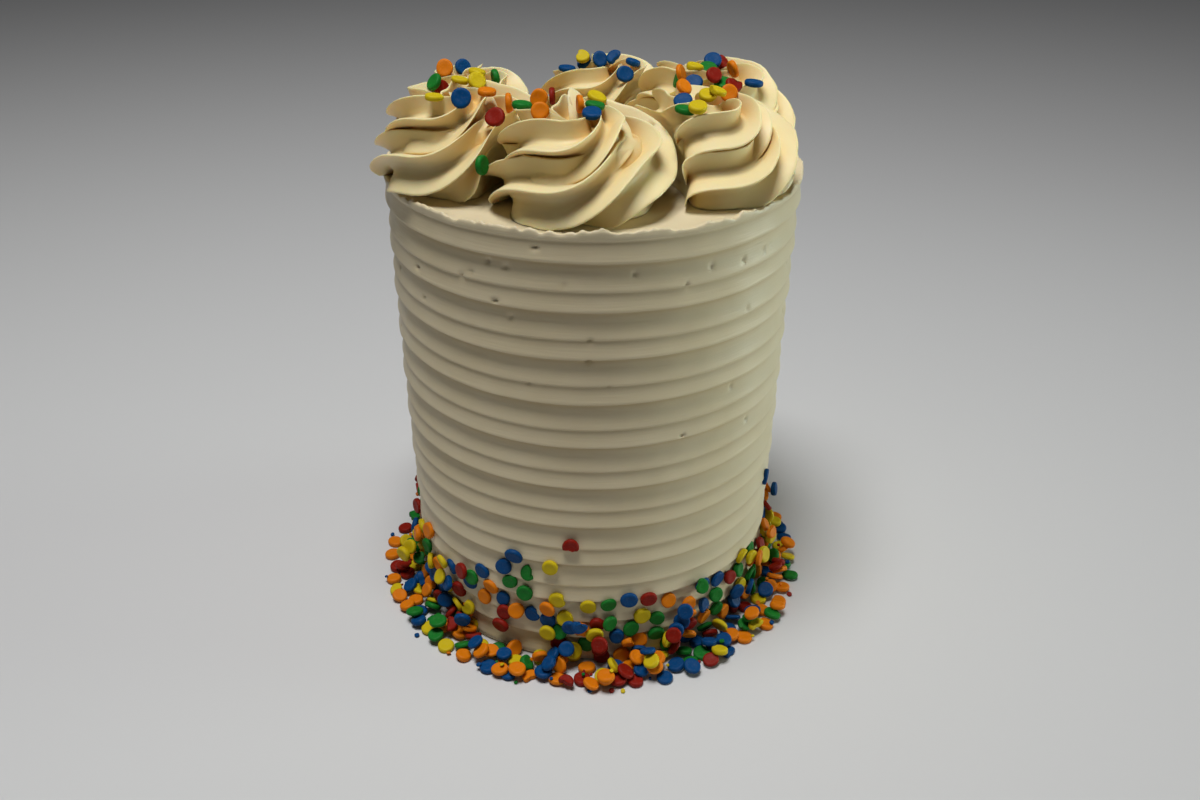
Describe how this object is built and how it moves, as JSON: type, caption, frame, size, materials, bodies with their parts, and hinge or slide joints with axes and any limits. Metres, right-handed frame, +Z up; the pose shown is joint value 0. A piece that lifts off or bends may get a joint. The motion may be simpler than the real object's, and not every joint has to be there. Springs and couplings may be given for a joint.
{
  "type": "birthday cake",
  "caption": "Tall round cake with comb-ridged cream icing, a ring of large piped rosettes on top, and confetti sprinkles on the rosettes and round the foot.",
  "frame": {"origin": "middle of the underside, on the surface that the cake stands on", "axes": "+Z up through the middle of the cake, -Y towards the front"},
  "size_m": [0.1688, 0.1696, 0.2113],
  "materials": {
    "buttercream": "satin",
    "sugar_blue": "satin",
    "sugar_green": "satin",
    "sugar_yellow": "satin",
    "sugar_orange": "satin",
    "sugar_red": "satin"
  },
  "bodies": {
    "root": {"cake": "buttercream", "rosette_front": "buttercream", "rosette_front_right": "buttercream", "rosette_back_right": "buttercream", "rosette_back": "buttercream", "rosette_back_left": "buttercream", "rosette_front_left": "buttercream"}
  },
  "joints": []
}
